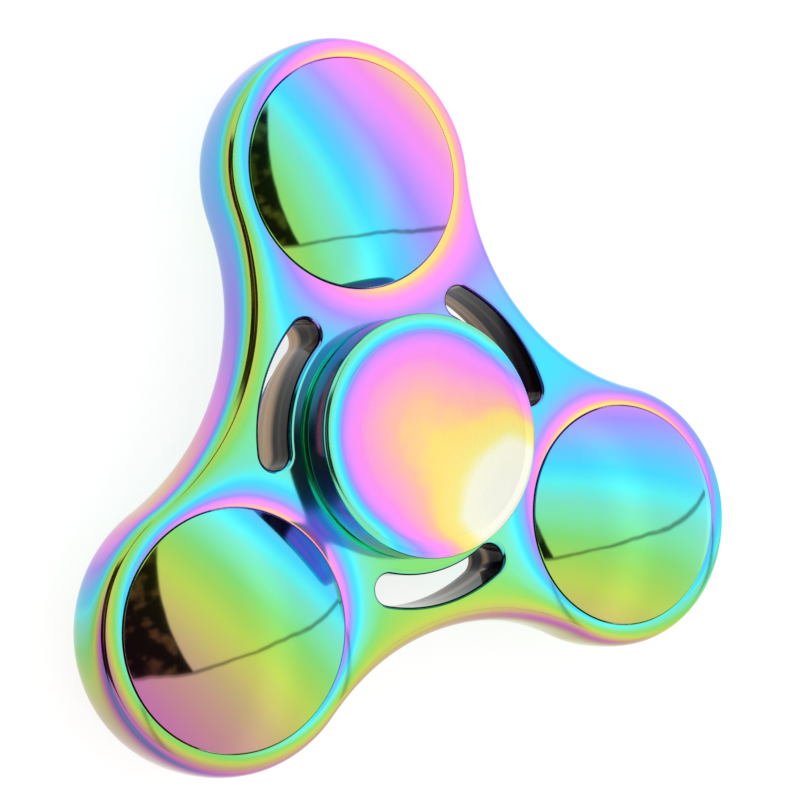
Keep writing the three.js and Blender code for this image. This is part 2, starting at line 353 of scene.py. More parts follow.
# film on the rolled edge at twelve even places round the outline, from the first lobe's right side:
# where the edge starts to fall, half way down it, and on the flank
EDGE_FILM = [
    (0.18, 0.20, 0.20), (0.20, 0.24, 0.24), (0.80, 0.95, 0.40), (1.02, 0.85, 0.28),
    (0.84, 0.66, 0.05), (1.28, 1.42, 0.95), (1.12, 1.13, 1.10), (1.02, 1.02, 0.84),
    (1.16, 1.19, 0.95), (0.70, 0.72, 0.75), (0.36, 0.37, 0.38), (0.48, 0.46, 0.45)]
EDGE_START = 0.6 # distance in from the outline where the first of these values holds
EDGE_SPREAD = 1.3

# film from the dish's middle out to the button's wall: [radius, film]
BUTTON_FILM = [
    (0, 0.01), (3, 0.03), (5, 0.07), (7, 0.12), (8.5, 0.18), (9.3, 0.24), (9.7, 0.29),
    (10.0, 0.36), (10.3, 0.47), (11.05, 0.62), (11.5, 0.68), (11.65, 0.66)]

# film up the button's wall: [height, film]
WALL_FILM = [(4.3, 0.52), (4.8, 0.42), (5.8, 0.30), (6.4, 0.17), (6.8, 0.33), (7.2, 0.50)]
WALL_START = 11.0 # steep faces further out than this are the wall's


def lobe_distance(x, y):
    """How far each point is from the nearest lobe's middle."""
    return np.min([np.hypot(x - c[0], y - c[1]) for c in LOBE_CENTRES], axis=0)


def film_plate(x, y):
    """The film on the plate's flat top, with the bands round the three collars."""
    value = film_web(x, y)
    for centre, (crest, spread) in zip(LOBE_CENTRES, COLLAR_FILM):
        dx, dy = x - centre[0], y - centre[1]
        r = np.maximum(np.hypot(dx, dy), 1e-6)
        weight = np.exp(-np.clip(r - CREST_EDGE, 0, None) / spread)
        value = value + (crest(dx / r, dy / r) - value) * weight
    return value


def edge_film_at(place):
    """Smooth values between the twelve places; place runs from 0 to 1 round the outline."""
    table = np.array(EDGE_FILM)
    count = len(table)
    at = (place % 1.0) * count
    k = np.floor(at).astype(int)
    t = (at - k)[:, None]
    a, b, c, d = (table[(k + shift) % count] for shift in (-1, 0, 1, 2))
    return b + 0.5 * t * (c - a + t * (2 * a - 5 * b + 4 * c - d + t * (3 * (b - c) + d - a)))


def outline_arcs():
    """Each lobe's arc and the waist's arc after it: centre, first angle and how far round each runs."""
    arcs = []
    for i in range(LOBES):
        here, after = LOBE_CENTRES[i], LOBE_CENTRES[(i + 1) % LOBES]
        waist = WAIST_CENTRES[i]
        start, leave = angle_of(WAIST_CENTRES[i - 1] - here), angle_of(here - waist)
        arcs.append((here, start, (angle_of(waist - here) - start) % (2 * math.pi),
                     waist, leave, (leave - angle_of(after - waist)) % (2 * math.pi)))
    return arcs


def outline_place(x, y):
    """For points inside the outline: how far in they are, and where round the outline they belong."""
    best = np.full(x.shape, 99.0)
    place = np.zeros(x.shape)
    share = LOBE_STEPS + WAIST_STEPS

    def improve(turn, span, inset, along):
        nonlocal best, place
        use = (turn <= span) & (inset < best) & (inset > -1)
        best = np.where(use, inset, best)
        place = np.where(use, along / (LOBES * share), place)

    for i, (lobe, start, span, waist, leave, waist_span) in enumerate(outline_arcs()):
        turn = (np.arctan2(y - lobe[1], x - lobe[0]) - start) % (2 * math.pi)
        inset = LOBE_RADIUS - np.hypot(x - lobe[0], y - lobe[1])
        improve(turn, span, inset, i * share + LOBE_STEPS * turn / span)
        turn = (leave - np.arctan2(y - waist[1], x - waist[0])) % (2 * math.pi)
        inset = np.hypot(x - waist[0], y - waist[1]) - WAIST_ARC
        improve(turn, waist_span, inset, i * share + LOBE_STEPS + WAIST_STEPS * turn / waist_span)
    return best, place


def film_frame(points, normals):
    """The plate's film, changing near the outline to the edge's, which falls off with the tilt."""
    x, y = points[:, 0], points[:, 1]
    inset, place = outline_place(x, y)
    start, middle, flank = edge_film_at(place).T
    crest = np.exp(-np.clip(lobe_distance(x, y) - CREST_EDGE, 0, None) / CREST_WIDTH)
    plate = film_plate(x, y)
    edge = np.exp(-np.clip(inset - EDGE_START, 0, None) / EDGE_SPREAD)
    value = plate + (start - plate) * edge * (1 - crest)
    tilt = np.degrees(np.arccos(np.clip(normals[:, 2], -1, 1)))
    tilt = np.where(tilt > 90, np.minimum(90, 205 - tilt), tilt)
    first = smooth((tilt - 30) / 30)
    second = smooth((tilt - 60) / 30)
    fallen = value + (middle - value) * first + (flank - middle) * second
    return np.where(inset < EDGE_START + 0.5, fallen, value)


def film_hole(points, normals):
    """The film round a hole's rim is the plate's, and thins out down the wall."""
    level = np.tile([0.0, 0.0, 1.0], (len(points), 1))
    return film_frame(points, level) - 0.35 * (1 - np.abs(normals[:, 2]))


def film_cover(index):
    value, in_x, in_y, in_xx, in_xy, in_yy = COVER_FILM[index]

    def film_at(points, normals):
        x, y = points[:, 0] / 10, points[:, 1] / 10
        return value + in_x * x + in_y * y + in_xx * x * x + in_xy * x * y + in_yy * y * y
    return film_at


def on_wall(points, normals):
    return (normals[:, 2] ** 2 < 0.2) & (np.hypot(points[:, 0], points[:, 1]) > WALL_START)


def film_button(points, normals):
    """Bands round the lip. Across the dish a painted highlight turns the film silver-white towards one side.
    """
    x, y = points[:, 0], points[:, 1]
    r = np.maximum(np.hypot(x, y), 1e-6)
    # painted highlight: towards +x and -y the film is pulled down to its silver-white end
    thin = np.clip((0.67 * x - 0.74 * y) / r, 0, 1)
    value = np.interp(r, *zip(*BUTTON_FILM)) * (0.97 - thin)
    value = value - 0.34 * np.clip(r / 8.5, 0, 1) ** 2.5 * thin ** 4
    up_wall = np.interp(np.abs(points[:, 2]), *zip(*WALL_FILM)) + 0.04 * (x - y) / r
    return np.where(on_wall(points, normals), up_wall, value)


def shade_button(points, normals):
    """Painted shade and painted reflection streaks on the wall of the cap, least towards -x and -y."""
    x, y = points[:, 0], points[:, 1]
    along = -(0.6 * x + 0.8 * y) / np.maximum(np.hypot(x, y), 1e-6)
    return np.where(on_wall(points, normals), 0.72 - 0.3 * np.clip(along, 0, 1), 0.0)


# ---------------------------------------------------------------- the frame's surface

FLANK_PAINTED_SHADE = 0.28 # how much painted shade darkens the film on the flank
BORE_ROUND = 0.15
SLOT_PAINTED_SHADE = 1.0 # how much painted shade covers a slot's wall
# the painted shade on the middle bore's wall
BORE_PAINTED_SHADE = 0.5


def collar_height(x, y):
    """Height added by the collars, and its slope in x and in y."""
    height, slope_x, slope_y = 0.0 * x, 0.0 * x, 0.0 * x
    for centre in LOBE_CENTRES:
        dx, dy = x - centre[0], y - centre[1]
        r = np.maximum(np.hypot(dx, dy), 1e-6)
        h = COLLAR_HEIGHT * np.exp(-(r - COLLAR_CREST) / COLLAR_FALL)
        height = height + h
        slope_x = slope_x - h / COLLAR_FALL * dx / r
        slope_y = slope_y - h / COLLAR_FALL * dy / r
    return height, slope_x, slope_y


def outline():
    """Arc centre, signed radius, angle and roll width of each point round the outline."""
    rows = []
    for lobe, start, span, waist, leave, waist_span in outline_arcs():
        for k in range(LOBE_STEPS):
            rows.append([*lobe, LOBE_RADIUS, start + span * k / LOBE_STEPS, ROLL_AT_LOBE])
        for k in range(WAIST_STEPS):
            t = k / WAIST_STEPS
            blend = float(smooth(min(t, 1 - t) / 0.35))
            roll = ROLL_AT_LOBE + (ROLL_AT_WAIST - ROLL_AT_LOBE) * blend
            rows.append([*waist, -WAIST_ARC, leave - waist_span * t, roll])
    return np.array(rows)


def outline_inset(rows, s):
    """Points of the outline moved in by s, and the outward directions there."""
    sign = np.sign(rows[:, 2])
    direction = np.c_[np.cos(rows[:, 3]), np.sin(rows[:, 3])]
    radius = np.abs(rows[:, 2]) - sign * s
    return rows[:, :2] + direction * radius[:, None], direction * sign[:, None]


def roll_section(tilt, roll):
    """Share of the plate's height and distance in from the outline where the edge has that tilt."""
    ratio = (np.tan(tilt) * roll / PLATE_HALF) ** (1 / (ROLL_POWER - 1))
    share = (1 + ratio ** ROLL_POWER) ** (-1 / ROLL_POWER)
    return share, roll * (1 - ratio * share)


def frame_rows(rows):
    """Rows from the middle of the flank up over the rolled edge and in to the strip's inner side."""
    roll = rows[:, 4]
    result = [(math.pi / 2, 0.0 * roll, 0.0 * roll)]
    for k in range(1, ROLL_ROWS + 1):
        tilt = math.pi / 2 * (1 - k / ROLL_ROWS)
        result.append((tilt, *roll_section(tilt, roll)))
    for share in (0.34, 0.67, 1.0):
        result.append((0.0, np.ones(len(rows)), roll + (STRIP_WIDTH - roll) * share))
    return result


def inset_distance(x, y):
    """How far a point inside the outline is from it."""
    best = np.full(x.shape, 99.0)
    lobe = lobe_distance(x, y)
    for i, centre in enumerate(WAIST_CENTRES):
        toward = -centre / np.linalg.norm(centre)
        dx, dy = x - centre[0], y - centre[1]
        reach = LOBE_CENTRES[i] - centre
        limit = reach @ toward / np.linalg.norm(reach)
        r = np.hypot(dx, dy)
        inside = (dx * toward[0] + dy * toward[1]) / r > limit
        best = np.minimum(best, np.where(inside, r - WAIST_ARC, LOBE_RADIUS - lobe))
    return best


def slot_loop(middle, grow, steps_arc=70, steps_end=26):
    """A slot's outline grown by some amount: points and outward directions, anticlockwise."""
    first, last = middle - SLOT_REACH, middle + SLOT_REACH
    points, away = [], []

    def arc(radius, start, end, steps, centre=(0, 0), side=1):
        for angle in np.linspace(start, end, steps, endpoint=False):
            points.append(polar(radius, angle) + centre)
            away.append(side * polar(1, angle))

    arc(SLOT_OUTER + grow, first, last, steps_arc)
    arc(SLOT_END + grow, last, last + math.pi, steps_end, polar(SLOT_MIDDLE, last))
    arc(SLOT_INNER - grow, last, first, steps_arc, side=-1)
    arc(SLOT_END + grow, first + math.pi, first + 2 * math.pi, steps_end, polar(SLOT_MIDDLE, first))
    return np.array(points), np.array(away)


def slot_distance(x, y):
    """How far outside the nearest slot a point is."""
    best = np.full(x.shape, 99.0)
    r, angle = np.hypot(x, y), np.arctan2(y, x)
    for i in range(LOBES):
        off = (angle - lobe_angle(i + 0.5) + math.pi) % (2 * math.pi) - math.pi
        off = off - np.clip(off, -SLOT_REACH, SLOT_REACH)
        apart = np.hypot(r - SLOT_MIDDLE * np.cos(off), SLOT_MIDDLE * np.sin(off))
        best = np.minimum(best, apart - SLOT_END)
    return best


def arc_points(count, radius, centre):
    angles = np.linspace(0, 2 * np.pi, count, endpoint=False)
    away = np.c_[np.cos(angles), np.sin(angles)]
    return away * radius + centre, away


def between_loops(points, loops):
    """Whether each point is inside the outline and outside every hole."""
    x, y = points[:, 0], points[:, 1]
    odd = np.zeros(len(points), bool)
    for loop in loops:
        for (x0, y0), (x1, y1) in zip(loop, np.roll(loop, -1, axis=0)):
            if y0 != y1:
                odd ^= ((y0 > y) != (y1 > y)) & (x < x0 + (y - y0) * (x1 - x0) / (y1 - y0))
    return odd


def top_surface(points):
    """Height and normal of the plate's top away from its rolled edge."""
    x, y = points[:, 0], points[:, 1]
    height, slope_x, slope_y = collar_height(x, y)
    return PLATE_HALF + height, np.c_[-slope_x, -slope_y, np.ones(len(x))]


class Plate(Builder):
    """The frame's surface. It remembers the loops that the top and the underside lie between."""

    def __init__(self):
        super().__init__()
        self.rings = {1: [], -1: []}
        self.numbers = {1: [], -1: []}

    def border(self, side, ring, numbers):
        self.rings[side].append(ring)
        self.numbers[side].append(numbers)


def on_side(side, xy, z, normals):
    """Points and unit normals at the front, or mirrored to the rear."""
    unit = normals / np.linalg.norm(normals, axis=1)[:, None]
    return np.c_[xy, z] * [1, 1, side], unit * [1, 1, side]


def add_edge(plate):
    """The flank and the rolled edge. Front and rear share the points in the middle of the flank."""
    rows = outline()
    flank = None
    for side in (1, -1):
        grid = []
        for k, (tilt, share, s) in enumerate(frame_rows(rows)):
            if k == 0 and flank is not None:
                grid.append(flank)
                continue
            xy, away = outline_inset(rows, s)
            height, slope_x, slope_y = collar_height(xy[:, 0], xy[:, 1])
            lift = math.sin(tilt) * (1 + height / PLATE_HALF)
            level = math.cos(tilt)
            normals = np.c_[away[:, 0] * lift - share * slope_x * level,
                            away[:, 1] * lift - share * slope_y * level,
                            np.full(len(rows), level)]
            points, unit = on_side(side, xy, share * (PLATE_HALF + height), normals)
            # painted shade: the film is darkened where the edge turns steep down the flank
            painted_dim = FLANK_PAINTED_SHADE * float(smooth((math.degrees(tilt) - 40) / 40))
            grid.append(plate.add(points, unit, film_frame(points, unit), -painted_dim))
            if k == 0:
                flank = grid[0]
        plate.quads(np.array(grid), flip=side < 0)
        plate.border(side, xy, grid[-1])


def add_hole(plate, make, edge_round, bare):
    """A hole through the plate, from a rounded rim down its wall to the rim on the other side, with painted
    shade on the wall.
    """
    rim, _ = make(edge_round)
    height, slope_x, slope_y = collar_height(rim[:, 0], rim[:, 1])
    sections = []
    for side in (1, -1):
        part = []
        for k in range(HOLE_ROUND_ROWS + 1):
            angle = math.pi / 2 * k / HOLE_ROUND_ROWS
            down, level = math.sin(angle), math.cos(angle)
            xy, away = make(edge_round * (1 - down))
            normals = np.c_[-away[:, 0] * down - slope_x * level,
                            -away[:, 1] * down - slope_y * level,
                            np.full(len(xy), level)]
            z = PLATE_HALF + height - edge_round * (1 - level)
            points, unit = on_side(side, xy, z, normals)
            # painted shade: it grows from the rim down the wall, up to the given amount
            shade = smooth(k / HOLE_ROUND_ROWS * 1.3 - 0.3) * bare
            part.append(plate.add(points, unit, film_hole(points, unit), shade))
        plate.border(side, rim, part[0])
        sections.append(part)
    plate.quads(np.array(sections[0] + sections[1][::-1]))


def add_lobe_bore(plate, centre):
    """A lobe's bore. The collar's crest is a small arc between its slope and the bore's wall."""
    lean = math.atan(COLLAR_HEIGHT / COLLAR_FALL)
    crest = SEAM_RADIUS + SEAM_ROUND * (1 + math.sin(lean))
    top = PLATE_HALF + COLLAR_HEIGHT * math.exp(-(crest - COLLAR_CREST) / COLLAR_FALL)
    sections = []
    for side in (1, -1):
        part = []
        for k in range(HOLE_ROUND_ROWS + 1):
            angle = math.pi / 2 - lean + (math.pi / 2 + lean) * k / HOLE_ROUND_ROWS
            xy, away = arc_points(BORE_POINTS, SEAM_RADIUS + SEAM_ROUND * (1 + math.cos(angle)), centre)
            z = top - SEAM_ROUND * (math.cos(lean) - math.sin(angle))
            points = np.c_[xy, np.full(len(xy), z * side)]
            normals = np.c_[away * math.cos(angle), np.full(len(xy), math.sin(angle) * side)]
            part.append(plate.add(points, normals, film_plate(xy[:, 0], xy[:, 1]) + 0.02 * k))
            if k == 0:
                plate.border(side, xy, part[0])
        sections.append(part)
    plate.quads(np.array(sections[0] + sections[1][::-1]))


def top_points():
    """Points over the plate's top: rings round the collars, and an even pattern between them."""
    rings = [arc_points(BORE_POINTS, radius, centre)[0] for centre in LOBE_CENTRES for radius in COLLAR_RINGS]
    across = np.arange(-SPREAD_REACH, SPREAD_REACH, SPREAD_STEP)
    gx, gy = np.meshgrid(across, np.arange(-SPREAD_REACH, SPREAD_REACH, SPREAD_STEP * 0.866))
    gx[1::2] += SPREAD_STEP / 2
    spread = np.c_[gx.ravel(), gy.ravel()]
    spread = spread[lobe_distance(spread[:, 0], spread[:, 1]) > COLLAR_RINGS[-1] + 0.35]
    points = np.vstack(rings + [spread])
    x, y = points[:, 0], points[:, 1]
    keep = (inset_distance(x, y) > STRIP_WIDTH + 0.12) & (slot_distance(x, y) > SLOT_ROUND + 0.15)
    keep &= (np.hypot(x, y) > SEAM_RADIUS + 0.35) & (lobe_distance(x, y) > COLLAR_CREST + 0.08)
    return points[keep]


def add_top(plate, side, extra):
    """Triangles through the extra points, between the outline's strip and the holes' rims."""
    edges, first = [], 0
    for ring in plate.rings[side]:
        n = len(ring)
        edges += [(first + k, first + (k + 1) % n) for k in range(n)]
        first += n
    points, unit = on_side(side, extra, *top_surface(extra))
    inner = plate.add(points, unit, film_frame(points, unit))
    owner = np.concatenate(plate.numbers[side] + [inner])
    everything = np.vstack(plate.rings[side] + [extra])
    out = delaunay_2d_cdt([Vector(p) for p in everything], edges, [], 0, 1e-5)
    places, triangles, originals = out[0], out[2], out[3]
    place = np.array([[p[0], p[1]] for p in places])
    number = [int(owner[o[0]]) if o else -1 for o in originals]
    within = between_loops(place[np.array(triangles)].mean(axis=1), plate.rings[side])
    for t, kept in zip(triangles, within):
        if not kept or any(number[v] < 0 for v in t):
            continue
        a, b, c = (place[v] for v in t)
        area = (b[0] - a[0]) * (c[1] - a[1]) - (b[1] - a[1]) * (c[0] - a[0])
        face = [number[v] for v in t]
        plate.faces.append(tuple(face) if (area > 0) == (side > 0) else tuple(reversed(face)))


def build_frame():
    plate = Plate()
    add_edge(plate)
    for i in range(LOBES):
        add_hole(plate, lambda grow, i=i: slot_loop(lobe_angle(i + 0.5), grow), SLOT_ROUND, SLOT_PAINTED_SHADE)
    add_hole(plate, lambda grow: arc_points(BORE_POINTS, SEAM_RADIUS + grow, np.zeros(2)),
             BORE_ROUND, BORE_PAINTED_SHADE)
    for centre in LOBE_CENTRES:
        add_lobe_bore(plate, centre)
    extra = top_points()
    for side in (1, -1):
        add_top(plate, side, extra)
    return plate.build("frame_body")


# ---------------------------------------------------------------- covers and buttons

def cover_profile():
    """From the axis out along the underside, up the edge and in over the dome."""
    centre = COVER_APEX - COVER_SPHERE
    limit = COVER_RADIUS - COVER_EDGE_INSET
    steepest = math.asin(limit / COVER_SPHERE)
    top = centre + COVER_SPHERE * math.cos(steepest)
    rows = profile_of([[0, COVER_UNDERSIDE], [COVER_RADIUS, COVER_UNDERSIDE, COVER_EDGE_ROUND],
                       [COVER_RADIUS, COVER_EDGE - COVER_EDGE_ROUND]])
    for k in range(1, 5):
        angle = steepest + (math.pi / 2 - steepest) * (1 - k / 5)
        out = COVER_EDGE_ROUND * (math.sin(angle) - math.sin(steepest)) + 0.02 * math.sin(angle)
        down = COVER_EDGE_ROUND * (math.cos(angle) - math.cos(steepest))
        rows.append([limit + out, top + down, math.sin(angle), math.cos(angle)])
    for k in range(COVER_ROWS + 1):
        angle = steepest * (1 - k / COVER_ROWS)
        rows.append([COVER_SPHERE * math.sin(angle), centre + COVER_SPHERE * math.cos(angle),
                     math.sin(angle), math.cos(angle)])
    return rows


def button_profile(rear):
    """From the axis along the stem's end, out under the cap, round the lip and in over the dish."""
    inner = SOCKET_RADIUS if rear else STUD_RADIUS
    tip = SOCKET_DEPTH if rear else -STUD_REACH
    boss = BEARING_HALF + 0.1
    rows = profile_of([
        [0, tip], [inner, tip, 0.0 if rear else 0.15], [inner, STEM_END, 0.0],
        [STEM_RADIUS, STEM_END, 0.2], [STEM_RADIUS, boss, 0.05], [BOSS_RADIUS, boss, 0.15],
        [BOSS_RADIUS, BUTTON_UNDERSIDE, 0.05], [BUTTON_RADIUS, BUTTON_UNDERSIDE, 0.35],
        *[[BUTTON_RADIUS, z] for z in WALL_HEIGHTS], [BUTTON_RADIUS, BUTTON_TOP, 0.6],
        [LIP_INNER, BUTTON_TOP, 0.35], [DISH_RADIUS, DISH_EDGE]])[:-1]
    sphere = (DISH_RADIUS ** 2 + DISH_DEPTH ** 2) / (2 * DISH_DEPTH)
    edge = math.asin(DISH_RADIUS / sphere)
    for k in range(DISH_ROWS + 1):
        angle = edge * (1 - k / DISH_ROWS)
        rows.append([sphere * math.sin(angle), DISH_EDGE - DISH_DEPTH + sphere * (1 - math.cos(angle)),
                     -math.sin(angle), math.cos(angle)])
    return rows


def finish_piece(obj, body, nodes, slot, *materials):
    for material in materials:
        obj.data.materials.append(material)
    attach(obj, body)
    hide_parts(*nodes)
    return obj


# ---------------------------------------------------------------- materials

class Nodes:
    """A material's node tree, with short calls for the nodes used here."""

    def __init__(self, name):
        self.material = bpy.data.materials.new(name)
        self.material.use_nodes = True
        self.tree = self.material.node_tree
        self.shader = self.tree.nodes["Principled BSDF"]

    def add(self, kind, inputs=None, **settings):
        node = self.tree.nodes.new(kind)
        for key, value in settings.items():
            setattr(node, key, value)
        for key, value in (inputs or {}).items():
            if isinstance(value, bpy.types.NodeSocket):
                self.tree.links.new(value, node.inputs[key])
            else:
                node.inputs[key].default_value = value
        return node

    def link(self, output, socket):
        self.tree.links.new(output, self.shader.inputs[socket])

    def set(self, **values):
        for key, value in values.items():
            self.shader.inputs[key.replace("_", " ")].default_value = value

    def place(self):
        return self.add("ShaderNodeTexCoord").outputs["Object"]

    def attribute(self, name):
        return self.add("ShaderNodeAttribute", attribute_name=name).outputs["Fac"]

    def math(self, operation, a, b=0.0, c=0.0):
        return self.add("ShaderNodeMath", {0: a, 1: b, 2: c}, operation=operation).outputs[0]

    def product(self, first, *others):
        for other in others:
            first = self.math("MULTIPLY", first, other)
        return first

    def noise(self, vector, scale, detail=2.0):
        settings = {"Vector": vector, "Scale": scale, "Detail": detail}
        return self.add("ShaderNodeTexNoise", settings).outputs["Fac"]

    def remap(self, value, low, high, to_low=0.0, to_high=1.0, **settings):
        ends = {"From Min": low, "From Max": high, "To Min": to_low, "To Max": to_high}
        return self.add("ShaderNodeMapRange", {"Value": value, **ends}, **settings).outputs[0]

    def near(self, value, width, soft):
        """1 where the value is within that width of zero, and 0 past the soft border."""
        return self.remap(self.math("ABSOLUTE", value), width, width + soft, 1.0, 0.0,
                          interpolation_type="SMOOTHSTEP")

    def above(self, value, at, soft):
        return self.remap(value, at, at + soft, interpolation_type="SMOOTHSTEP")

    def below(self, value, at, soft):
        return self.math("SUBTRACT", 1.0, self.above(value, at, soft))

    def ramp(self, factor, stops):
        """Colours in between stops of [position, colour]."""
        node = self.add("ShaderNodeValToRGB", {"Fac": factor})
        elements = node.color_ramp.elements
        ends = {0: 0, len(stops) - 1: -1}
        for k, (position, colour) in enumerate(stops):
            element = elements[ends[k]] if k in ends else elements.new(position)
            element.position = position
            element.color = colour
        return node.outputs["Color"]

    def mix(self, factor, first, second, **settings):
        colours = {"Fac": factor, "Color1": first, "Color2": second}
        return self.add("ShaderNodeMixRGB", colours, **settings).outputs[0]

    def bump(self, height, strength, distance, **inputs):
        inputs.update(Height=height, Strength=strength, Distance=distance)
        return self.add("ShaderNodeBump", inputs).outputs["Normal"]


def linear(hue, saturation, value):
    """Linear colour of a hue in degrees with a saturation and a value."""
    h = (hue % 360) / 60
    low = value * (1 - saturation)
    part = [abs((h + shift) % 6 - 3) - 1 for shift in (0, 4, 2)]
    srgb = [low + (value - low) * min(max(p, 0), 1) for p in part]
    return [c / 12.92 if c < 0.04045 else ((c + 0.055) / 1.055) ** 2.4 for c in srgb] + [1]


# the colour that a thicker and thicker oxide film shows: [place, hue, saturation, value]
FILM_LOW, FILM_HIGH = -0.4, 1.65
FILM_COLOURS = [
    (-0.40, 60, 0.04, 0.93), (-0.16, 60, 0.10, 0.95), (-0.09, 54, 0.42, 0.95), (0.0, 46, 0.50, 0.98),
    (0.04, 18, 0.35, 0.98), (0.09, 335, 0.32, 0.98), (0.14, 308, 0.40, 0.97), (0.19, 296, 0.42, 0.99),
    (0.25, 276, 0.42, 1.0), (0.31, 250, 0.42, 1.0), (0.37, 222, 0.44, 1.0), (0.43, 202, 0.60, 1.0),
    (0.49, 192, 0.72, 1.0), (0.55, 180, 0.62, 0.95), (0.61, 165, 0.48, 0.90), (0.67, 146, 0.46, 0.90),
    (0.74, 112, 0.46, 0.86), (0.81, 88, 0.56, 0.84), (0.88, 72, 0.58, 0.83), (0.95, 56, 0.48, 0.78),
    (1.01, 40, 0.38, 0.76), (1.06, 18, 0.30, 0.76), (1.11, 350, 0.30, 0.76), (1.17, 318, 0.42, 0.76),
    (1.24, 296, 0.44, 0.72), (1.31, 268, 0.36, 0.66), (1.40, 232, 0.36, 0.62), (1.49, 200, 0.30, 0.66),
    (1.57, 150, 0.26, 0.70), (1.65, 90, 0.22, 0.70)]


def film_colour(n, thickness):
    span = FILM_HIGH - FILM_LOW
    stops = [((at - FILM_LOW) / span, linear(hue, saturation, value))
             for at, hue, saturation, value in FILM_COLOURS]
    return n.ramp(n.remap(thickness, FILM_LOW, FILM_HIGH), stops)


def painted_wall_shade(n, place):
    """Painted shade and painted reflections on a hole's wall: dark, with upright streaks of painted
    reflection, and lighter towards the rear.
    """
    upright = n.add("ShaderNodeMapping", {"Vector": place, "Scale": (0.05, 0.05, 1.0)}).outputs[0]
    streaks = n.ramp(n.noise(upright, 650.0),
                     [(0.46, (0.015, 0.012, 0.018, 1)), (0.70, (0.60, 0.40, 0.25, 1))])
    height = n.add("ShaderNodeSeparateXYZ", {0: place}).outputs["Z"]
    lower = n.remap(height, -0.0035, 0.0015, 1.0, 0.12)
    return n.mix(1.0, streaks, lower, blend_type="MULTIPLY")


def film_material(name, roughness, grain=0.0, spread=0.012):
    """Mirror-bright metal under a thin clear oxide whose colour changes with its thickness.

    Spread is how much the thickness drifts, and grain adds a fine roughness of the surface."""
    n = Nodes(name)
    place = n.place()
    drift = n.math("MULTIPLY_ADD", n.noise(place, 90.0, 3.0), spread * 2, -spread)
    mottle = n.math("MULTIPLY_ADD", n.noise(place, 700.0), spread, -spread / 2)
    thickness = n.math("ADD", n.math("ADD", n.attribute("film"), drift), mottle)
    # painted shade: the shade attribute darkens the film below 0, and above 0 mixes in a wall's painted shade
    # and painted reflections
    shade = n.attribute("shade")
    painted_dim = n.math("ADD", n.math("MINIMUM", shade, 0.0), 1.0)
    painted_dim_film = n.mix(1.0, film_colour(n, thickness), painted_dim, blend_type="MULTIPLY")
    n.link(n.mix(shade, painted_dim_film, painted_wall_shade(n, place)), "Base Color")
    n.link(n.math("MULTIPLY_ADD", n.noise(place, 160.0, 4.0), roughness * 0.5, roughness * 0.75),
           "Roughness")
    n.set(Metallic=1.0)
    normal = n.bump(n.noise(place, 60.0, 1.5), 0.02, 0.0006)
    if grain:
        normal = n.bump(n.noise(place, 2600.0, 3.0), grain, 0.00008, Normal=normal)
    n.link(normal, "Normal")
    return n.material


def steel_material(name, colour, roughness, scratch=0.08):
    """Ground or pressed bare steel with fine marks."""
    n = Nodes(name)
    marks = n.noise(n.place(), 900.0, 5.0)
    n.link(n.ramp(marks, [(0.0, (*[c * 0.82 for c in colour], 1)), (1.0, (*colour, 1))]), "Base Color")
    n.link(n.math("MULTIPLY_ADD", marks, roughness * 0.8, roughness * 0.6), "Roughness")
    n.set(Metallic=1.0)
    n.link(n.bump(marks, scratch, 0.00005), "Normal")
    return n.material


BODY = film_material("iridescent_body", 0.10)
COVER = film_material("iridescent_cover", 0.06)
BUTTON = film_material("iridescent_button", 0.16)
DISH = film_material("iridescent_dish", 0.30, grain=0.25, spread=0.02)
RING = steel_material("bearing_steel", (0.62, 0.63, 0.65), 0.2)
BALL = steel_material("ball_steel", (0.78, 0.79, 0.8), 0.06, scratch=0.02)
CAGE = steel_material("cage_steel", (0.5, 0.47, 0.42), 0.35)
SHIELD = steel_material("shield_steel", (0.6, 0.61, 0.62), 0.28)
WEIGHT = steel_material("weight_steel", (0.4, 0.4, 0.41), 0.45)

# ---------------------------------------------------------------- the pieces

DISH_ABOVE = 5.0 # faces within the dish's radius and above this are the dish's


def sided(rows, sign):
    return rows if sign > 0 else mirrored_rows(rows)


def build_cover(i, side, sign):
    builder = Builder()
    lathe(builder, sided(cover_profile(), sign), COVER_TURNS, film_cover(i), LOBE_CENTRES[i])
    finish_piece(builder.build(f"cover_{i + 1}_{side}"), "rotor", [f"lobe_cover_{i + 1}_{side}"],
                 "iridescent_cover", COVER)


def build_weight(i):
    builder = Builder()
    rows = profile_of([[0, -WEIGHT_HALF], [WEIGHT_RADIUS, -WEIGHT_HALF, 0.3],
                       [WEIGHT_RADIUS, WEIGHT_HALF, 0.3], [0, WEIGHT_HALF]])
    lathe(builder, rows, WEIGHT_TURNS, film_none, LOBE_CENTRES[i])
    finish_piece(builder.build(f"weight_{i + 1}"), "rotor", [f"lobe_weight_{i + 1}"], "weight_steel", WEIGHT)


def build_button(side, sign):
    builder = Builder()
    lathe(builder, sided(button_profile(sign < 0), sign), BUTTON_TURNS, film_button, shade_at=shade_button)
    obj = builder.build(f"{side}_finger_button")
    finish_piece(obj, "hub", [f"{side}_button"], "iridescent_button", BUTTON, DISH)
    for face in obj.data.polygons:
        centre = face.center / MM
        if math.hypot(centre.x, centre.y) < DISH_RADIUS and sign * centre.z > DISH_ABOVE:
            face.material_index = 1


def groove_rows(shoulder, outward):
    """The ball groove of a ring, from its lower to its upper edge, with normals out of the steel."""
    half = math.acos(abs(PITCH_RADIUS - shoulder) / GROOVE_RADIUS)
    rows = []
    for k in range(GROOVE_ROWS + 1):
        t = -half + 2 * half * k / GROOVE_ROWS
        c = math.cos(t) if outward else -math.cos(t)
        s = math.sin(t)
        rows.append([PITCH_RADIUS + GROOVE_RADIUS * c, GROOVE_RADIUS * s, -c, -s])
    return rows


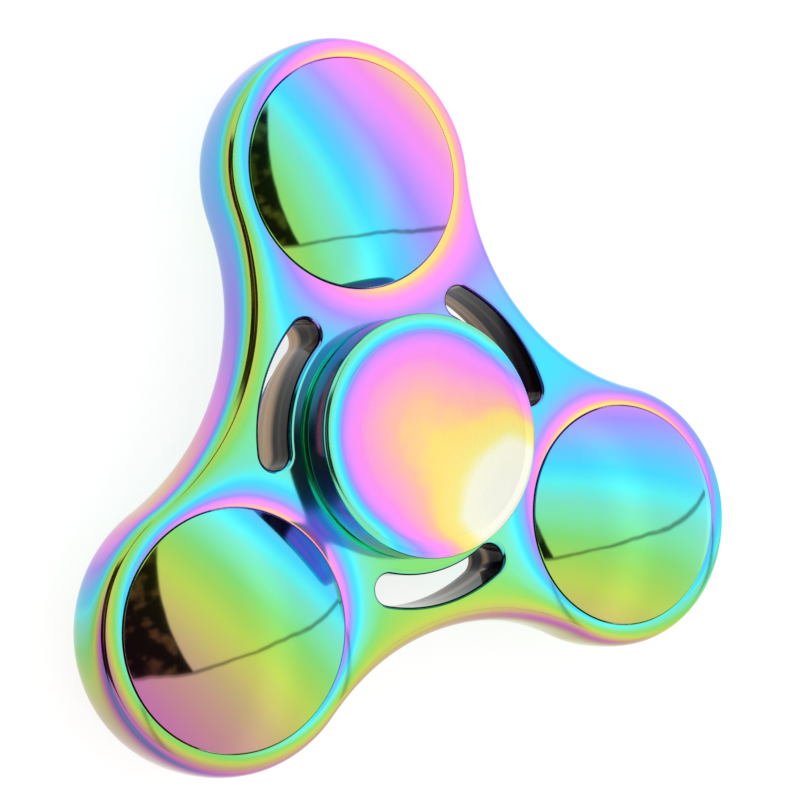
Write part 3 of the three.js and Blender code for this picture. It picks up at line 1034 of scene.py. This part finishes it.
def build_bearing_part(name, body, node, slot, material, rows):
    builder = Builder()
    lathe(builder, rows, BEARING_TURNS, film_none, closed=True)
    finish_piece(builder.build(name), body, [node], slot, material)


def build_inner_ring():
    half, groove = BEARING_HALF, groove_rows(INNER_SHOULDER, False)
    rows = (profile_of([[BEARING_BORE, 0], [BEARING_BORE, -half, 0.3], [INNER_SHOULDER, -half, 0.1],
                        [INNER_SHOULDER, groove[0][1]]])
            + groove
            + profile_of([[INNER_SHOULDER, groove[-1][1]], [INNER_SHOULDER, half, 0.1],
                          [BEARING_BORE, half, 0.3], [BEARING_BORE, 0]]))
    build_bearing_part("inner_ring", "hub", "bearing_inner_ring", "bearing_steel", RING, rows)


def build_outer_ring():
    half, groove = BEARING_HALF, groove_rows(OUTER_SHOULDER, True)
    floor, recess = SHIELD_RECESS_FLOOR, SHIELD_RECESS
    rows = (profile_of([[OUTER_SHOULDER, groove[0][1]], [OUTER_SHOULDER, -floor], [recess, -floor],
                        [recess, -half, 0.1], [BEARING_OUTER, -half, 0.3], [BEARING_OUTER, half, 0.3],
                        [recess, half, 0.1], [recess, floor], [OUTER_SHOULDER, floor],
                        [OUTER_SHOULDER, groove[-1][1]]])
            + groove[::-1])
    build_bearing_part("outer_ring", "rotor", "bearing_outer_ring", "bearing_steel", RING, rows)


def build_shield(side, sign):
    low, slope = SHIELD_TOP - SHIELD_STEP, SHIELD_STEP_SLOPE
    rows = profile_of([[SHIELD_INNER, SHIELD_BOTTOM], [SHIELD_OUTER, SHIELD_BOTTOM, 0.08],
                       [SHIELD_OUTER, SHIELD_TOP, 0.1],
                       [SHIELD_STEP_OUTER + slope, SHIELD_TOP, 0.1], [SHIELD_STEP_OUTER - slope, low, 0.1],
                       [SHIELD_STEP_INNER + slope, low, 0.1], [SHIELD_STEP_INNER - slope, SHIELD_TOP, 0.1],
                       [SHIELD_INNER, SHIELD_TOP, 0.08]], closed=True)
    build_bearing_part(f"shield_{side}", "rotor", f"bearing_shield_{side}", "shield_steel", SHIELD,
                       sided(rows, sign))


def build_ball(k):
    builder = Builder()
    rows = [[BALL_RADIUS * math.cos(t), BALL_RADIUS * math.sin(t), math.cos(t), math.sin(t)]
            for t in np.linspace(-math.pi / 2, math.pi / 2, BALL_ROWS + 1)]
    rows[0][0] = rows[-1][0] = 0.0
    lathe(builder, rows, BALL_TURNS, film_none, polar(PITCH_RADIUS, k * 2 * math.pi / BALLS))
    finish_piece(builder.build(f"ball_{k + 1}"), f"ball_{k + 1}", [f"bearing_ball_{k + 1}"],
                 "ball_steel", BALL)


def build_cage_half(side, sign):
    """One pressed half of the ribbon cage: a band that rises over each ball."""
    builder = Builder()
    turns, spacing = BALLS * CAGE_STEPS, 2 * math.pi / BALLS
    angles = np.linspace(0, 2 * np.pi, turns, endpoint=False)
    off = (angles + spacing / 2) % spacing - spacing / 2
    grids = []
    for sheet in (0, CAGE_SHEET):
        grid = []
        for r in np.linspace(CAGE_INNER, CAGE_OUTER, CAGE_WIDTH_STEPS + 1):
            chord = np.hypot(r * np.sin(off), r * np.cos(off) - PITCH_RADIUS)
            rise = np.sqrt(np.maximum((CAGE_POCKET + sheet) ** 2 - chord ** 2, 0))
            z = np.maximum(CAGE_SPLIT + sheet, rise)
            grid.append(np.c_[r * np.cos(angles), r * np.sin(angles), sign * z])
        grids.append(grid)
    rows = [builder.add(row, np.tile([0, 0, sign], (turns, 1)), 0.0) for row in grids[1] + grids[0][::-1]]
    builder.quads(np.array(rows + rows[:1]), flip=sign > 0)
    obj = make_piece(f"cage_half_{side}", np.vstack(builder.points), builder.faces,
                     fields={"film": np.zeros(builder.count)}, flat=True)
    finish_piece(obj, "ball_cage", [f"ball_cage_half_{side}"], "cage_steel", CAGE)


finish_piece(build_frame(), "rotor", ["tri_lobe_frame"], "iridescent_body", BODY)
for i in range(LOBES):
    for side, sign in SIDES:
        build_cover(i, side, sign)
    build_weight(i)
for side, sign in SIDES:
    build_button(side, sign)
build_inner_ring()
build_outer_ring()
for side, sign in SIDES:
    build_shield(side, sign)
for k in range(BALLS):
    build_ball(k)
for side, sign in SIDES:
    build_cage_half(side, sign)

# ---------------------------------------------------------------- studio

SCENE = bpy.context.scene
SCENE.view_settings.view_transform = "Standard"
SCENE.view_settings.look = "None"

world = bpy.data.worlds.new("studio")
SCENE.world = world
world.use_nodes = True
sky = world.node_tree
sky.nodes["Background"].inputs["Color"].default_value = (1, 1, 1, 1)
sky.nodes["Background"].inputs["Strength"].default_value = 1.0


FLOOR_HALF = 2500.0
FLOOR_GAP = 0.02 # between the floor and the lip that the spinner rests on
FLOOR_GREY = 0.3
FLOOR_GLOW = 0.76

# A round tent of white cloth, seen only in reflections. It has its own axes: across, upward and
# towards its opening.
TENT_RADIUS = 200.0
TENT_ACROSS = np.array([0.8375, -0.2157, 0.5021])
TENT_UPWARD = np.array([0.2061, 0.9756, 0.0754])
TENT_FACING = np.array([-0.5061, 0.0403, 0.8615])
TENT_SEAM = -0.095 * TENT_ACROSS + TENT_UPWARD + 0.238 * TENT_FACING # square to the seam's plane
TENT_SEAM_SHIFT = 0.170
TENT_LINE = 0.66 # how dark the seam's line is
TENT_FOLD = 0.384 * TENT_ACROSS + 0.114 * TENT_UPWARD - 0.82 * TENT_FACING
TENT_FOLD_GLOW = 0.14


def build_floor():
    """White paper that glows a little, so that its shadow stays faint."""
    h, z = FLOOR_HALF, -BUTTON_TOP - FLOOR_GAP
    obj = make_piece("floor", [[-h, -h, z], [h, -h, z], [h, h, z], [-h, h, z]], [(0, 1, 2, 3)])
    n = Nodes("floor_paper")
    n.set(Roughness=0.9)
    n.shader.inputs["Base Color"].default_value = (FLOOR_GREY, FLOOR_GREY, FLOOR_GREY, 1)
    n.shader.inputs["Emission Color"].default_value = (1, 1, 1, 1)
    n.shader.inputs["Emission Strength"].default_value = FLOOR_GLOW
    obj.data.materials.append(n.material)


def tent_material():
    """Glowing cloth with a sewn line, a dark opening above it, a skirt low down and a bright fold."""
    n = Nodes("tent_cloth")
    n.tree.nodes.remove(n.shader)
    unit = n.add("ShaderNodeVectorMath", {0: n.place()}, operation="NORMALIZE").outputs[0]

    def along(axis):
        vectors = {0: unit, 1: tuple(axis)}
        return n.add("ShaderNodeVectorMath", vectors, operation="DOT_PRODUCT").outputs["Value"]

    x, y, z = along(TENT_ACROSS), along(TENT_UPWARD), along(TENT_FACING)
    height = along((0, 0, 1))
    wave = n.math("MULTIPLY_ADD", n.noise(unit, 2.2), 0.12, -0.06)
    seam = n.math("ADD", n.math("ADD", along(TENT_SEAM), TENT_SEAM_SHIFT), wave)
    line = n.product(n.near(seam, 0.006, 0.018), n.above(x, -0.3, 0.2), TENT_LINE)

    # the opening's right side is bowed, its left part is kept to a band, and it ends at the seam
    down = n.math("SUBTRACT", 0.8, y)
    bow = n.math("MULTIPLY", down, n.math("MULTIPLY_ADD", down, 0.26, -0.03))
    edge = n.math("SUBTRACT", n.math("ADD", x, n.math("MULTIPLY", wave, 0.4)), bow)
    band = n.near(n.math("ADD", y, -0.03), 0.46, 0.12)
    low = n.math("MAXIMUM", n.below(height, 0.46, 0.08), n.above(x, -0.5, 0.06))
    limit = n.math("MAXIMUM", n.above(x, -0.2, 0.06), n.math("MULTIPLY", band, low))
    opening = n.product(n.below(edge, -0.02, 0.02), limit, n.above(seam, 0.0, 0.01),
                        n.below(y, 0.72, 0.12), n.above(z, 0.0, 0.1))
    skirt = n.product(n.near(n.math("SUBTRACT", height, 0.15), 0.13, 0.07), n.below(x, -0.75, 0.25), band)

    dark = n.math("MAXIMUM", n.math("MAXIMUM", line, opening), skirt)
    gloom = n.ramp(n.noise(unit, 7.0), [(0.5, (0.012, 0.011, 0.012, 1)), (0.75, (0.20, 0.14, 0.08, 1))])
    light = n.mix(dark, (1, 1, 1, 1), gloom)
    strength = n.math("MULTIPLY_ADD", n.near(along(TENT_FOLD), 0.0, 0.3), TENT_FOLD_GLOW, 1.0)
    glow = n.add("ShaderNodeEmission", {"Color": light, "Strength": strength})
    n.tree.links.new(glow.outputs[0], n.tree.nodes["Material Output"].inputs["Surface"])
    return n.material


def build_tent():
    builder = Builder()
    rows = [[TENT_RADIUS * math.cos(t), TENT_RADIUS * math.sin(t), math.cos(t), math.sin(t)]
            for t in np.linspace(-0.04, math.pi / 2, 49)]
    rows[-1][0] = 0.0
    lathe(builder, rows, 128, film_none)
    tent = builder.build("tent")
    tent.data.materials.append(tent_material())
    tent.visible_camera = False
    tent.visible_diffuse = False
    tent.visible_shadow = False
    tent.visible_transmission = False


build_floor()
build_tent()
